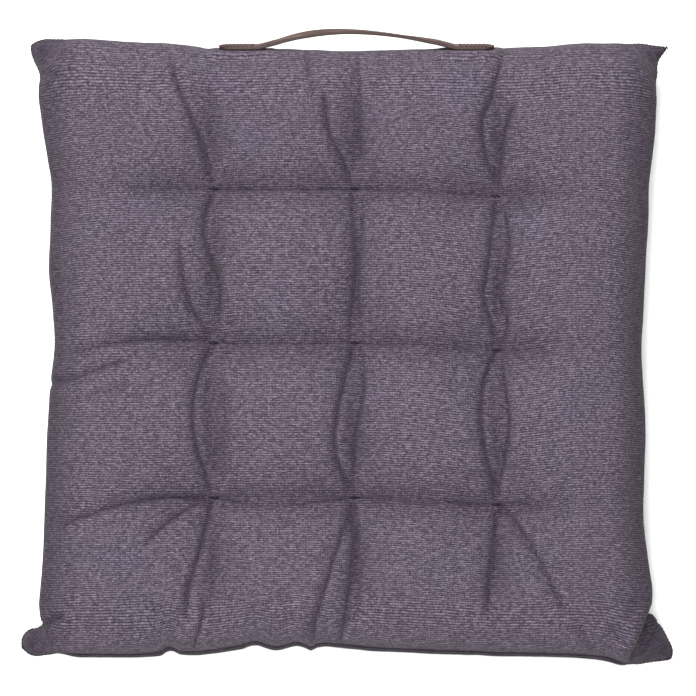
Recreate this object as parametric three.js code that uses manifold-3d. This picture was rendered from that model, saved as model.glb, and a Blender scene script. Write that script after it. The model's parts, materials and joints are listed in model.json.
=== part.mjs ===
// A tufted chair seat pad with a leather carrying strap.
//
// The cover is two panels joined round one edge seam. Inside are a foam slab and a fibre wrap in two halves.
// Nine threads go right through and pull both faces in. The strap is sewn to the back edge at its two ends,
// and its middle swings. Millimetres, +Z out of the sitting face, +Y towards the strap, +X to the right.
// The origin is under the middle of the whole pad, on the surface that it lies on.

import * as THREE from 'three';
import { mergeVertices } from 'three/addons/utils/BufferGeometryUtils.js';
import Module from 'manifold-3d';

// The filled pad, corner to corner.
const PAD_WIDTH = 404;
const PAD_DEPTH = 386;
const SIDE_PULL_IN = 17; // how far the left and right edges draw in between the corners
const END_PULL_IN = 6; // the same for the front and back edges
const SEAM_HEIGHT = 24; // the edge seam above the surface that the pad lies on
const TOP_CROWN = 26.6; // the pillows' tops above the upper panel's edge
const BOTTOM_FLATTENING = 6; // how far the lower pillows would bulge past the surface they rest on
const EDGE_ROLL = 60; // from the edge to where the pad reaches its full height
const RIM = 0.6; // the straight fold of each panel at the seam

// Cloth, thread and the gap between pieces that touch.
const CLOTH = 1.5;
const GAP = 0.3;
const SEAM_THREAD = 1;

// The tufts.
const TUFT_PITCH_X = 88;
const TUFT_PITCH_Y = 96;
const TUFT_OFFSET_X = 5;
const TUFT_OFFSET_Y = 3;
const RIGHT_COLUMN_DROP = 4.5; // the right column was tied a little nearer the front
const TUFT_TOP = 11; // the upper panel's height above its edge where a tuft pulls it in
const TUFT_BOTTOM = 9; // the same on the lower panel
const TUFT_SEAT = 14; // radius of the level cloth under each bar
const TUFT_SPREAD = 24; // how fast the pillow rises round a tuft
const TUFT_THREAD_RADIUS = 0.8;
const BAR_LENGTH = 7;
const BAR_RADIUS = 0.9;

// The foam slab.
const CORE_THICKNESS = 12;
const CORE_INSET = 52; // from the pad's edge to the slab's edge
const CORE_CORNER = 22;

// The strap. Its ends lie on the back edge, above the seam.
const STRAP_SPAN = 172;
const STRAP_WIDTH = 13;
const STRAP_THICKNESS = 2.2;
const STRAP_OFFSET_X = 6;
const STRAP_TILT = THREE.MathUtils.degToRad(16); // the strap's face looks a little upwards
const STRAP_BOW = 13.5; // the middle of the strap's thickness out from the cloth
const SEWN_LENGTH = 24; // the flat stretch at each end
const SWING_LENGTH = 100; // the stretch that swings, between the places where it leaves the pad
const BOW_POWER = 1.1;
const BOW_SKEW = 8; // the strap bows out most a little left of its middle
const STITCH_INSET = 2.2; // from the strap's edge to its stitching
const STITCH_THREAD = 0.8;
const STITCH_HEIGHT = 0.6;
const STITCHED_LENGTH = 19;

// How finely the soft surfaces are divided.
const EDGE_STEPS = 6; // from the edge to the first tuft
const EDGE_CROWDING = 1.8; // more than 1 sets these lines closer together near the edge
const SEAT_STEP = 6; // from a tuft to the line on each side of it
const STRAP_STEPS = 36;
const ROUND_SIDES = 8;
const WELD = 1e-4;

const CLOTH_COLOUR = 0x736777;
const THREAD_COLOUR = 0x3a3240;
const LEATHER_COLOUR = 0x6b504a;
const FOAM_COLOUR = 0xe6dfc8;
const FIBRE_COLOUR = 0xf0efea;

const wasm = await Module();
wasm.setup();

// ---- Solids ----

function toSolid(geometry) {
  const bare = new THREE.BufferGeometry();
  bare.setAttribute('position', geometry.getAttribute('position'));
  bare.setIndex(geometry.index);
  const merged = mergeVertices(bare, WELD);
  const index = merged.index.array;
  const corners = [];
  for (let k = 0; k < index.length; k += 3) {
    const [a, b, c] = index.slice(k, k + 3);
    if (a !== b && b !== c && c !== a) corners.push(a, b, c);
  }
  return new wasm.Manifold(new wasm.Mesh({
    numProp: 3,
    vertProperties: new Float32Array(merged.getAttribute('position').array),
    triVerts: new Uint32Array(corners),
  }));
}

function toMesh(name, solid, colour, roughness) {
  const data = solid.getMesh();
  const geometry = new THREE.BufferGeometry();
  geometry.setAttribute('position', new THREE.BufferAttribute(data.vertProperties, data.numProp));
  geometry.setIndex(new THREE.BufferAttribute(data.triVerts, 1));
  geometry.computeVertexNormals();
  const mesh = new THREE.Mesh(
    geometry,
    new THREE.MeshStandardMaterial({ color: colour, roughness, metalness: 0 }),
  );
  mesh.name = name;
  return mesh;
}

function extruded(shape, depth, low) {
  const geometry = new THREE.ExtrudeGeometry(shape, { depth, bevelEnabled: false, curveSegments: 5 });
  geometry.translate(0, 0, low);
  return geometry;
}

// ---- The pad's shape ----

const halfWidth = PAD_WIDTH / 2;
const halfDepth = PAD_DEPTH / 2;
const rimHalfGap = SEAM_THREAD / 2 + GAP; // from the seam's level to each panel's edge
const topEdge = SEAM_HEIGHT + rimHalfGap + RIM;
const bottomEdge = SEAM_HEIGHT - rimHalfGap - RIM;
const bottomCrown = bottomEdge + BOTTOM_FLATTENING;
const columns = [-1, 0, 1].map((side) => TUFT_OFFSET_X + side * TUFT_PITCH_X);
const rows = [1, 0, -1].map((side) => TUFT_OFFSET_Y + side * TUFT_PITCH_Y);
const tufts = rows.flatMap((y, row) => columns.map((x, column) => ({
  x,
  y: column === 2 ? y - RIGHT_COLUMN_DROP : y,
  name: `tuft_${['back', 'middle', 'front'][row]}_${['left', 'centre', 'right'][column]}`,
})));

// The roll at the edge ends before the level cloth of the outermost tufts.
const roomAtSide = halfWidth - Math.max(...columns.map(Math.abs)) - TUFT_SEAT - SEAT_STEP;
const roomAtEnd = halfDepth - Math.max(...tufts.map((tuft) => Math.abs(tuft.y))) - TUFT_SEAT - SEAT_STEP;
const roll = Math.min(EDGE_ROLL, roomAtSide, roomAtEnd);

// u and v run from -1 to 1 across the pad, and its edges draw in between the corners.
function plan(u, v, inset) {
  const reachX = halfWidth - SIDE_PULL_IN * (1 - v ** 4) * u * u - inset;
  const reachY = halfDepth - END_PULL_IN * (1 - u ** 4) * v * v - inset;
  return [u * reachX, v * reachY];
}

function rise(distance) {
  const t = Math.min(1, distance / roll);
  return Math.sqrt(1 - (1 - t) ** 2);
}

function edgeShare(u, v) {
  return rise((1 - Math.abs(u)) * halfWidth) * rise((1 - Math.abs(v)) * halfDepth);
}

function tuftShare(u, v) {
  const [x, y] = plan(u, v, 0);
  const nearest = Math.min(...tufts.map((tuft) => Math.hypot(x - tuft.x, y - tuft.y)));
  const past = Math.max(0, nearest - TUFT_SEAT) / TUFT_SPREAD;
  return Math.exp(-past * past);
}

function swell(u, v, crown, seat, inset) {
  return edgeShare(u, v) * (crown - (crown - seat) * tuftShare(u, v) - inset);
}

// The faces of the two panels, or surfaces a set distance inside them that keep a gap to them as well.
function topSurface(inset, gap = 0) {
  return (u, v) => topEdge - gap + swell(u, v, TOP_CROWN, TUFT_TOP, inset);
}

function bottomSurface(inset, gap = 0) {
  return (u, v) => gap + Math.max(inset, bottomEdge - swell(u, v, bottomCrown, TUFT_BOTTOM, inset));
}

// Lines across the pad, from edge to edge, with one on each side of every tuft.
function gridLines(half, places) {
  const sorted = [...places].sort((a, b) => a - b);
  const first = sorted[0] - SEAT_STEP;
  const last = sorted[sorted.length - 1] + SEAT_STEP;
  const lines = [];
  for (let k = 0; k < EDGE_STEPS; k += 1) {
    const share = (k / EDGE_STEPS) ** EDGE_CROWDING;
    lines.push(-half + share * (first + half), half - share * (half - last));
  }
  sorted.forEach((place, k) => {
    lines.push(place - SEAT_STEP, place + SEAT_STEP);
    if (k > 0) lines.push((place + sorted[k - 1]) / 2);
  });
  return lines.sort((a, b) => a - b).map((place) => place / half);
}

const us = gridLines(halfWidth, columns);
const vs = gridLines(halfDepth, rows);

// A closed solid between two surfaces over the pad's whole plan.
function layer(inset, upper, lower) {
  const places = [];
  const index = [];
  const count = us.length * vs.length;
  for (const surface of [lower, upper]) {
    for (const v of vs) {
      for (const u of us) {
        const [x, y] = plan(u, v, inset);
        places.push(x, y, surface(u, v));
      }
    }
  }
  const at = (i, j) => j * us.length + i;
  const quad = (a, b, c, d) => index.push(a, b, c, a, c, d);
  for (let j = 0; j < vs.length - 1; j += 1) {
    for (let i = 0; i < us.length - 1; i += 1) {
      const [a, b, c, d] = [at(i, j), at(i + 1, j), at(i + 1, j + 1), at(i, j + 1)];
      quad(a, d, c, b);
      quad(a + count, b + count, c + count, d + count);
    }
  }
  const ring = [];
  for (let i = 0; i < us.length - 1; i += 1) ring.push(at(i, 0));
  for (let j = 0; j < vs.length - 1; j += 1) ring.push(at(us.length - 1, j));
  for (let i = us.length - 1; i > 0; i -= 1) ring.push(at(i, vs.length - 1));
  for (let j = vs.length - 1; j > 0; j -= 1) ring.push(at(0, j));
  ring.forEach((a, k) => {
    const b = ring[(k + 1) % ring.length];
    quad(a, b, b + count, a + count);
  });
  const geometry = new THREE.BufferGeometry();
  geometry.setAttribute('position', new THREE.Float32BufferAttribute(places, 3));
  geometry.setIndex(index);
  return toSolid(geometry);
}

const level = (height) => () => height;

// The pad's outline, a set distance inside its edge.
function outline(inset) {
  const points = [];
  for (const u of us.slice(0, -1)) points.push(plan(u, -1, inset));
  for (const v of vs.slice(0, -1)) points.push(plan(1, v, inset));
  for (const u of us.slice(1).reverse()) points.push(plan(u, 1, inset));
  for (const v of vs.slice(1).reverse()) points.push(plan(-1, v, inset));
  return points.map(([x, y]) => new THREE.Vector2(x, y));
}

// ---- Cover, filling and threads ----

function upright(x, y, radius, low, high) {
  const geometry = new THREE.CylinderGeometry(radius, radius, high - low, ROUND_SIDES);
  geometry.rotateX(Math.PI / 2);
  geometry.translate(x, y, (low + high) / 2);
  return toSolid(geometry);
}

const padTop = topEdge + TOP_CROWN;
const threadHoles = tufts
  .map(({ x, y }) => upright(x, y, TUFT_THREAD_RADIUS + GAP, -GAP, padTop + GAP))
  .reduce((holes, hole) => holes.add(hole));

function coverTop() {
  const low = SEAM_HEIGHT + rimHalfGap;
  const inside = layer(CLOTH, topSurface(CLOTH), level(low - CLOTH));
  return layer(0, topSurface(0), level(low)).subtract(inside).subtract(threadHoles);
}

function coverBottom() {
  const high = SEAM_HEIGHT - rimHalfGap;
  const inside = layer(CLOTH, level(high + CLOTH), bottomSurface(CLOTH));
  return layer(0, level(high), bottomSurface(0)).subtract(inside).subtract(threadHoles);
}

function core(extra) {
  const x = halfWidth - CORE_INSET + extra;
  const y = halfDepth - CORE_INSET + extra;
  const corner = CORE_CORNER + extra;
  const shape = new THREE.Shape();
  shape.moveTo(x, -y + corner);
  shape.absarc(x - corner, y - corner, corner, 0, Math.PI / 2);
  shape.absarc(-x + corner, y - corner, corner, Math.PI / 2, Math.PI);
  shape.absarc(-x + corner, -y + corner, corner, Math.PI, 1.5 * Math.PI);
  shape.absarc(x - corner, -y + corner, corner, 1.5 * Math.PI, 2 * Math.PI);
  const half = CORE_THICKNESS / 2 + extra;
  return toSolid(extruded(shape, 2 * half, SEAM_HEIGHT - half));
}

function wadding(isTop) {
  const whole = isTop
    ? layer(CLOTH + GAP, topSurface(CLOTH, GAP), level(SEAM_HEIGHT + GAP / 2))
    : layer(CLOTH + GAP, level(SEAM_HEIGHT - GAP / 2), bottomSurface(CLOTH, GAP));
  return whole.subtract(core(GAP)).subtract(threadHoles);
}

function edgeSeamThread() {
  const inner = (CLOTH - SEAM_THREAD) / 2;
  const shape = new THREE.Shape(outline(inner));
  shape.holes.push(new THREE.Path(outline(inner + SEAM_THREAD)));
  return toSolid(extruded(shape, SEAM_THREAD, SEAM_HEIGHT - SEAM_THREAD / 2));
}

function bar(x, y, z) {
  const geometry = new THREE.CapsuleGeometry(BAR_RADIUS, BAR_LENGTH - 2 * BAR_RADIUS, 2, ROUND_SIDES);
  geometry.rotateZ(Math.PI / 2);
  geometry.translate(x, y, z);
  return toSolid(geometry);
}

function tuftThread({ x, y }) {
  const high = topEdge + TUFT_TOP + GAP + BAR_RADIUS;
  const low = bottomEdge - TUFT_BOTTOM - GAP - BAR_RADIUS;
  return upright(x, y, TUFT_THREAD_RADIUS, low, high).add(bar(x, y, high)).add(bar(x, y, low));
}

// ---- The strap, in a frame of its own: X along it, Y out from the pad, Z across its width ----

const bowHalf = STRAP_SPAN / 2 - SEWN_LENGTH;
const swingHalf = SWING_LENGTH / 2;

// The middle of the strap's thickness, out from the plane that its sewn ends lie on.
function strapPlace(x) {
  const skew = BOW_SKEW * Math.max(0, 1 - (x / swingHalf) ** 2);
  const q = Math.min(1, Math.abs(x + skew) / bowHalf);
  return STRAP_THICKNESS / 2 + (STRAP_BOW - STRAP_THICKNESS / 2) * (1 - q * q) ** BOW_POWER;
}

function strapBand(low, high) {
  const inner = [];
  const outer = [];
  const small = 0.01;
  for (let k = 0; k <= STRAP_STEPS; k += 1) {
    const x = low + ((high - low) * k) / STRAP_STEPS;
    const slope = (strapPlace(x + small) - strapPlace(x - small)) / (2 * small);
    // The cut ends stay square to X, so the strap turns past its sewn ends without touching them.
    const lean = k === 0 || k === STRAP_STEPS ? 0 : slope / Math.hypot(1, slope);
    const out = Math.sqrt(1 - lean * lean) * (STRAP_THICKNESS / 2);
    const along = lean * (STRAP_THICKNESS / 2);
    inner.push(new THREE.Vector2(x + along, strapPlace(x) - out));
    outer.push(new THREE.Vector2(x - along, strapPlace(x) + out));
  }
  const shape = new THREE.Shape([...inner, ...outer.reverse()]);
  return toSolid(extruded(shape, STRAP_WIDTH, -STRAP_WIDTH / 2));
}

// A prism with the strap's round-ended outline, seen from its face.
function strapOutline() {
  const radius = STRAP_WIDTH / 2;
  const straight = STRAP_SPAN / 2 - radius;
  const shape = new THREE.Shape();
  shape.absarc(straight, 0, radius, -Math.PI / 2, Math.PI / 2);
  shape.absarc(-straight, 0, radius, Math.PI / 2, 1.5 * Math.PI);
  const geometry = extruded(shape, 2 * STRAP_BOW, -STRAP_BOW);
  geometry.rotateX(Math.PI / 2);
  return toSolid(geometry);
}

function strapEnd(side) {
  const near = side * (swingHalf + GAP / 2);
  const far = (side * STRAP_SPAN) / 2;
  return strapBand(Math.min(near, far), Math.max(near, far)).intersect(strapOutline());
}

function strapStitching(side) {
  const shape = new THREE.Shape();
  const middle = side * (STRAP_SPAN / 2 - STITCH_INSET - STITCHED_LENGTH / 2);
  const frameOf = (path, shrink) => {
    const x = STITCHED_LENGTH / 2 - shrink;
    const y = STRAP_WIDTH / 2 - STITCH_INSET - shrink;
    const corner = y / 2;
    path.moveTo(middle - x + corner, -y);
    path.lineTo(middle + x - corner, -y);
    path.lineTo(middle + x, -y + corner);
    path.lineTo(middle + x, y - corner);
    path.lineTo(middle + x - corner, y);
    path.lineTo(middle - x + corner, y);
    path.lineTo(middle - x, y - corner);
    path.lineTo(middle - x, -y + corner);
    path.closePath();
  };
  frameOf(shape, 0);
  const hole = new THREE.Path();
  frameOf(hole, STITCH_THREAD);
  shape.holes.push(hole);
  const geometry = extruded(shape, STITCH_HEIGHT, 0);
  geometry.rotateX(-Math.PI / 2);
  geometry.translate(0, STRAP_THICKNESS + GAP, 0);
  return toSolid(geometry);
}

// Where a plane with the strap's tilt, pushed in from behind, first meets the pad's rolled back edge:
// its distance out from the seam along the tilted normal, and its height along the tilted plane.
function firstTouch() {
  const steps = 400;
  let found = { out: -Infinity, up: 0 };
  for (let k = 0; k <= steps; k += 1) {
    const distance = (roll * k) / steps;
    const height = rimHalfGap + RIM + TOP_CROWN * rise(distance);
    const out = height * Math.sin(STRAP_TILT) - distance * Math.cos(STRAP_TILT);
    const up = height * Math.cos(STRAP_TILT) + distance * Math.sin(STRAP_TILT);
    if (out > found.out) found = { out, up };
  }
  return found;
}

// ---- The whole pad ----

const pad = new THREE.Group();
pad.add(
  toMesh('cover_top', coverTop(), CLOTH_COLOUR, 0.95),
  toMesh('cover_bottom', coverBottom(), CLOTH_COLOUR, 0.95),
  toMesh('edge_seam_thread', edgeSeamThread(), THREAD_COLOUR, 0.8),
  toMesh('wadding_top', wadding(true), FIBRE_COLOUR, 1),
  toMesh('wadding_bottom', wadding(false), FIBRE_COLOUR, 1),
  toMesh('foam_core', core(0).subtract(threadHoles), FOAM_COLOUR, 0.9),
);
for (const tuft of tufts) pad.add(toMesh(tuft.name, tuftThread(tuft), THREAD_COLOUR, 0.8));

const farEnd = (Math.abs(STRAP_OFFSET_X) + STRAP_SPAN / 2) / halfWidth;
const backEdge = plan(farEnd, 1, 0)[1];
const touch = firstTouch();
const tilted = new THREE.Group();
tilted.position.set(STRAP_OFFSET_X, backEdge, SEAM_HEIGHT);
tilted.rotation.x = STRAP_TILT;
const strap = new THREE.Group();
strap.position.set(0, touch.out + GAP, touch.up);
strap.add(
  toMesh('handle_strap', strapBand(-swingHalf + GAP / 2, swingHalf - GAP / 2), LEATHER_COLOUR, 0.6),
  toMesh('handle_end_left', strapEnd(-1), LEATHER_COLOUR, 0.6),
  toMesh('handle_end_right', strapEnd(1), LEATHER_COLOUR, 0.6),
  toMesh('handle_stitching_left', strapStitching(-1), THREAD_COLOUR, 0.8),
  toMesh('handle_stitching_right', strapStitching(1), THREAD_COLOUR, 0.8),
);
tilted.add(strap);
pad.add(tilted);

// The origin goes under the middle of the whole object.
pad.updateMatrixWorld(true);
const middle = new THREE.Box3().setFromObject(pad).getCenter(new THREE.Vector3());
pad.position.set(-middle.x, -middle.y, 0);

const seatPad = new THREE.Group();
seatPad.add(pad);

export default seatPad;
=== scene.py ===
"""Looks of the tufted chair seat pad: a slubbed cloth cover, its filling, threads and leather strap.

The pad's own millimetres are used below: X to the right, Y towards the strap, Z up from the seat, with the
origin at the middle of the cover. to_row() turns them into the row frame's metres.
"""

import json
import math

import bmesh
import bpy
import numpy as np
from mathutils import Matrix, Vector, noise


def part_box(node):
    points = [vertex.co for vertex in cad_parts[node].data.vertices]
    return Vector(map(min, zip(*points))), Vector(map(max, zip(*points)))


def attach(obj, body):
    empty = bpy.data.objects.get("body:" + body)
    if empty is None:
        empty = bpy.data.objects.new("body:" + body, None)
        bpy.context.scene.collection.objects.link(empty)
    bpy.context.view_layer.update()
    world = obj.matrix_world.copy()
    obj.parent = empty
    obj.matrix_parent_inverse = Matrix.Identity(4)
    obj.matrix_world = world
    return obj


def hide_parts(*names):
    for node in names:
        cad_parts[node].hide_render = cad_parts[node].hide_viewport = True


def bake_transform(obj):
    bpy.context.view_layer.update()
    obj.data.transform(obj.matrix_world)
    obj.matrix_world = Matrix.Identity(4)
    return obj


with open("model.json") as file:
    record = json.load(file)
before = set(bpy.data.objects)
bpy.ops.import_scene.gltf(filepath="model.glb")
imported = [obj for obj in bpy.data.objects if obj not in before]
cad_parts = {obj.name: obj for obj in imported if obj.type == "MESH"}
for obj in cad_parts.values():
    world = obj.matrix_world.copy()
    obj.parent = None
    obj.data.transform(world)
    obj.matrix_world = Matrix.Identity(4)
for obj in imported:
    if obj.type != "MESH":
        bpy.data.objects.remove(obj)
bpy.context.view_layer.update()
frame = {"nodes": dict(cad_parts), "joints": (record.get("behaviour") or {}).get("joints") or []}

MM = 0.001

# ---- The cover ----
PANEL_LINES = 84  # grid lines of the simulated cloth, each way
HALF_WIDTH = 202.0
HALF_DEPTH = 193.0
SEAM_HEIGHT = 24.0
TOP_RISE = 29.0  # how far each panel starts from the seam, before it is swollen
BOTTOM_RISE = 23.0
TOP_TUFT_DIP = 16.0  # how much less it starts from the seam at a tuft
BOTTOM_TUFT_DIP = 13.5
START_SHARE = 0.85
EDGE_ROLL = 42.0  # how far in from the edge the panels start rounded
TUFT_SPREAD = 26.0  # radius of the dip that the panels start with round a tuft
WIDTH_SLACK = 1.075  # cut cloth against finished width and depth, between the tufts
DEPTH_SLACK = 1.05
WIDTH_END_SLACK = 1.14  # the same, from the outer tufts to the edges
DEPTH_END_SLACK = 1.12
EDGE_FADE = 75.0  # how far in the seam's own line is felt
CLOTH_FRAMES = 30  # length of the simulation
CLOTH_PRESSURE = 4.0
CROWN_SHARE = 0.90  # the crowns' height above the seam, against the freely swollen one
CROWN_EASE = 47.0  # above this height they are eased down further
CROWN_ROOM = 6.5  # the most that a crown stands above that height
TOP_ARC = 50.0  # cloth from the seam up to the crest
BOTTOM_ARC = 38.0
RIM_SHADE = 1.0  # how much painted shade darkens the left and right rims, and how far in
RIM_WIDTH = 48.0
FLOOR_EASE = 1.3  # how softly the underside flattens on the seat
LOWEST = 0.05  # the cloth's lowest place above the seat
CLOTH_THICKNESS = 1.2
HEM_THICKNESS = 0.3  # each panel's thickness at the seam
FOAM_ROOM = 0.3  # between the cloth's inner wall and the foam slab
FILLING_GAP = 0.1
TUFTS_TOP = 36.4  # height of the cloth under a tuft, on each face
TUFTS_BOTTOM = 13.6
UNDERSIDE_FOLDS = 0.7  # how deep the underside's folds and valleys are, against the top's
UNDERSIDE_VALLEYS = 0.25

# The seam, as (x, y, z), each edge from its left or front end.
SEAM_BACK = [
    (-198, 190.5, 22), (-192, 193.4, 22), (-185, 193.8, 22), (-173, 193.4, 23), (-154, 192.4, 23),
    (-129, 190.4, 23), (-110, 189.8, 23), (-98, 188.9, 23), (-88, 187.4, 22), (-79, 186.2, 22),
    (-60, 185.6, 22), (-40, 186.4, 22), (-23, 186, 22), (2, 185.2, 22), (33, 186, 22), (64, 187, 22),
    (88, 187, 22), (100, 187.4, 22), (121, 188.2, 23), (146, 190, 23), (164, 190.4, 23), (183, 191, 22), (191, 190, 22),
    (201, 188.8, 22),
]
SEAM_FRONT = [
    (-202.6, -187, 22), (-199.5, -190.2, 22), (-194.4, -191.9, 23), (-187, -190.9, 26), (-172, -189.6, 30),
    (-140, -190, 32), (-116, -188.6, 31), (-110.5, -184.6, 34), (-104, -188, 31), (-88, -187.8, 32),
    (-66, -184.4, 33), (-57, -181.8, 34), (-44, -185.4, 31), (-31, -182.2, 34), (-22, -185.6, 31),
    (-15, -182.8, 33), (17, -185.6, 32), (58, -187.4, 32), (108, -189, 31), (149, -190.6, 28),
    (164, -192.8, 23), (177, -197.8, 18), (192, -196.6, 16), (203.4, -195, 16),
]
SEAM_LEFT = [
    (-202.6, -187, 22), (-203.2, -183.5, 22), (-201.5, -178.5, 22), (-196.5, -175, 23), (-190.6, -174, 24),
    (-190, -168, 22), (-189.9, -160, 20), (-188, -132, 19), (-186.8, -107, 18), (-186, -82, 18),
    (-185, -51, 18), (-183, -20, 18), (-180.6, 2, 18), (-181.8, 24, 18), (-184.3, 49, 18),
    (-183.7, 74, 18), (-182.6, 99, 18), (-185, 117, 18), (-188.6, 136, 19), (-191.4, 155, 20), (-192.7, 165, 21), (-192.6, 172.5, 22),
    (-195.5, 179, 22), (-197.8, 185, 22), (-198, 190.5, 22),
]
SEAM_RIGHT = [
    (203.4, -195, 16), (204.6, -191, 16), (203.2, -185.6, 16), (201.2, -182, 16), (197.5, -174.7, 16),
    (191.6, -168.6, 17), (187.8, -164, 19), (187.6, -157, 19), (188.1, -151, 19), (185.6, -132.5, 19),
    (183.1, -107.5, 18), (183.1, -82.5, 18), (184.4, -51, 18), (182.5, -20, 18), (181.9, 2, 18),
    (183.1, 24, 18), (184.4, 49, 18), (186.2, 74, 18), (186.9, 99, 18),
    (188.7, 117.5, 18), (190.6, 136, 19), (191.9, 155, 20), (193.6, 167, 21), (194.6, 173.7, 22), (194.4, 178.7, 22), (196.4, 182.6, 22), (201, 188.8, 22),
]

# The folds, as (depth, width, points from one end to the other). A tuft's folds run from it.
FOLDS = [
    # from the back edge to the back row
    (3.0, 2.6, [(-110, 181), (-105, 164), (-97, 144), (-89, 124), (-84, 102)]),
    (1.8, 2.0, [(-25, 186), (-23, 168), (-20, 149)]),
    (1.0, 2.0, [(-19, 176), (-17, 160), (-14, 150)]),
    (3.2, 2.6, [(-14, 158), (-11, 134), (-2, 116), (3, 101)]),
    (1.3, 3.0, [(7, 184), (8, 150), (9, 112)]),
    (2.8, 2.4, [(98, 186), (90, 156), (84, 140), (86, 122), (92, 101)]),
    (2.6, 2.2, [(105, 152), (100, 140), (97, 122), (95, 98)]),
    # between the back and middle rows
    (3.2, 2.4, [(-83, 97), (-88, 82), (-88, 69), (-85, 58), (-79, 44), (-78, 28), (-81, 8)]),
    (2.2, 3.0, [(-104, 66), (-101, 42), (-97, 27), (-89, 14), (-85, 5)]),
    (2.6, 2.0, [(3, 97), (4, 69), (5, 42), (2, 18), (3, 5)]),
    (1.8, 2.0, [(10, 92), (9, 62), (8, 42), (9, 8)]),
    (3.0, 2.2, [(93, 92), (90, 69), (87, 45), (85, 32), (90, 14), (93, 1)]),
    (2.0, 2.4, [(97, 90), (101, 69), (99, 49), (96, 34), (100, 14), (95, 0)]),
    # between the middle and front rows
    (3.2, 2.4, [(-84, 1), (-91, -16), (-95, -36), (-94, -54), (-91, -68), (-84, -90)]),
    (0.9, 4.0, [(-77, -18), (-75, -44), (-77, -78)]),
    (3.2, 2.6, [(4, 1), (-3, -28), (-7, -52), (-6, -68), (2, -91)]),
    (2.0, 2.2, [(9, 0), (11, -24), (7, -48), (4, -74), (5, -90)]),
    (3.0, 2.6, [(92, -3), (86, -20), (83, -40), (85, -60), (89, -78), (92, -94)]),
    (2.4, 2.2, [(96, -4), (99, -28), (101, -46), (99, -64), (96, -80), (94, -94)]),
    # from the front row to the front edge
    (3.2, 2.6, [(-84, -95), (-88, -114), (-92, -130), (-97, -148), (-99, -168)]),
    (2.2, 1.8, [(-88, -156), (-90, -171), (-95, -187)]),
    (2.4, 2.6, [(-86, -94), (-101, -102), (-115, -112), (-126, -124)]),
    (2.2, 2.6, [(-86, -92), (-116, -94), (-142, -98), (-160, -104), (-179, -111)]),
    (3.0, 2.8, [(3, -96), (-4, -118), (-12, -145), (-18, -165), (-22, -184)]),
    (3.0, 2.4, [(5, -97), (3, -130), (-1, -165), (-4, -184)]),
    (1.6, 2.4, [(8, -100), (8, -144), (4, -174)]),
    (2.4, 3.0, [(93, -100), (92, -117), (89, -137), (86, -166)]),
    (2.4, 2.6, [(95, -99), (103, -106), (111, -117), (119, -131), (127, -148), (135, -166)]),
    (1.3, 2.2, [(141, -166), (146, -178), (152, -189)]),
    (1.0, 2.2, [(162, -170), (169, -178), (177, -184)]),
    # from the sides
    (2.0, 2.4, [(-187, -23), (-170, -19), (-148, -11), (-136, -8)]),
    (1.0, 2.6, [(-162, -30), (-150, -27), (-132, -22)]),
    (1.6, 2.4, [(-84, 4), (-116, 5), (-143, 2), (-172, -4)]),
    (1.6, 1.8, [(-191, 172), (-184, 172), (-175, 169)]),
    (2.6, 2.0, [(-191, -173), (-184, -170), (-175, -165)]),
    (2.4, 1.6, [(189, 191), (193, 186), (197, 180)]),
    (4.6, 2.0, [(191, -161), (186, -172), (181, -183), (176, -196)]),
    (2.6, 1.6, [(196, -171), (186, -184), (178, -197)]),
    # the lines that the tufts pull tight across each row
    (1.1, 1.1, [(-83, 99), (-40, 98), (5, 99)]),
    (0.7, 1.2, [(5, 99), (50, 97), (93, 94.5)]),
    (0.6, 1.4, [(-83, 99), (-110, 98), (-138, 98)]),
    (0.6, 1.1, [(-83, 3), (-40, 2), (5, 3)]),
    (0.45, 1.1, [(5, 3), (50, 1), (93, -1.5)]),
    (0.4, 1.2, [(93, -1.5), (112, -2), (128, -3)]),
    (1.2, 1.2, [(-83, -93), (-62, -97), (-45, -99), (-20, -96), (5, -93)]),
    (0.7, 1.1, [(-60, -94), (-45, -96), (-28, -94)]),
    (0.8, 1.2, [(5, -93), (50, -96), (93, -97.5)]),
    (0.6, 1.4, [(93, -97.5), (110, -98), (124, -99)]),
]
FOLD_PULL = 0.5  # how much of a fold's depth the cloth also gathers sideways
FOLD_REACH = 5.0  # how far a fold is felt, in its own widths
VALLEY_DEPTH = 9.0  # the dips along the columns of tufts
VALLEY_WIDTH = 9.0
ROW_DEPTH = 7.5  # the dips along the rows of tufts
ROW_WIDTH = 9.0
COLUMN_WANDER = 3.0  # how far a column's dip strays sideways between tufts
TUFT_PINCH = 1.2  # how far the cloth is drawn in right under a bar
CLOTH_UNEVEN = 0.55  # height of the small swells in the stuffed cloth

# The folded ear at the front right: the line it folds on, and how far it drops.
EAR_FOLD = [(189.5, -164), (176, -195)]
EAR_DROP = 7.0

# ---- The tufts ----
BAR_HALF = 3.9  # half the length of a bar
STRAND_RADIUS = 0.32
CORD_RADIUS = 0.34  # the thread that joins the two bars
CORD_TURN = 1.1  # its twist, in radians for a millimetre

# ---- The strap ----
STRAP_SPAN = 172.0
STRAP_WIDTH = 13.0
STRAP_THICKNESS = 2.2
STRAP_TILT = math.radians(16)
STRAP_BOW = 13.5
STRAP_SAG = 2.7  # how far the leather hangs below its full bow
STRAP_FLAT_FROM = 62.0  # beyond this far from the middle it lies flat
STRAP_SKEW = 8.0  # how far the top of its bow sits to one side
STRAP_PIVOT = 50.0  # where the swing's line crosses it
STRAP_BOW_POWER = 1.1
STRAP_CORNER = 0.8  # radius of its cut edges
STRAP_CROWN = 0.12  # how much its face is rounded
STRAP_TWIST = math.radians(7)
STITCHED_LENGTH = 19.0
STITCH_INSET = 2.2

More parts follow.
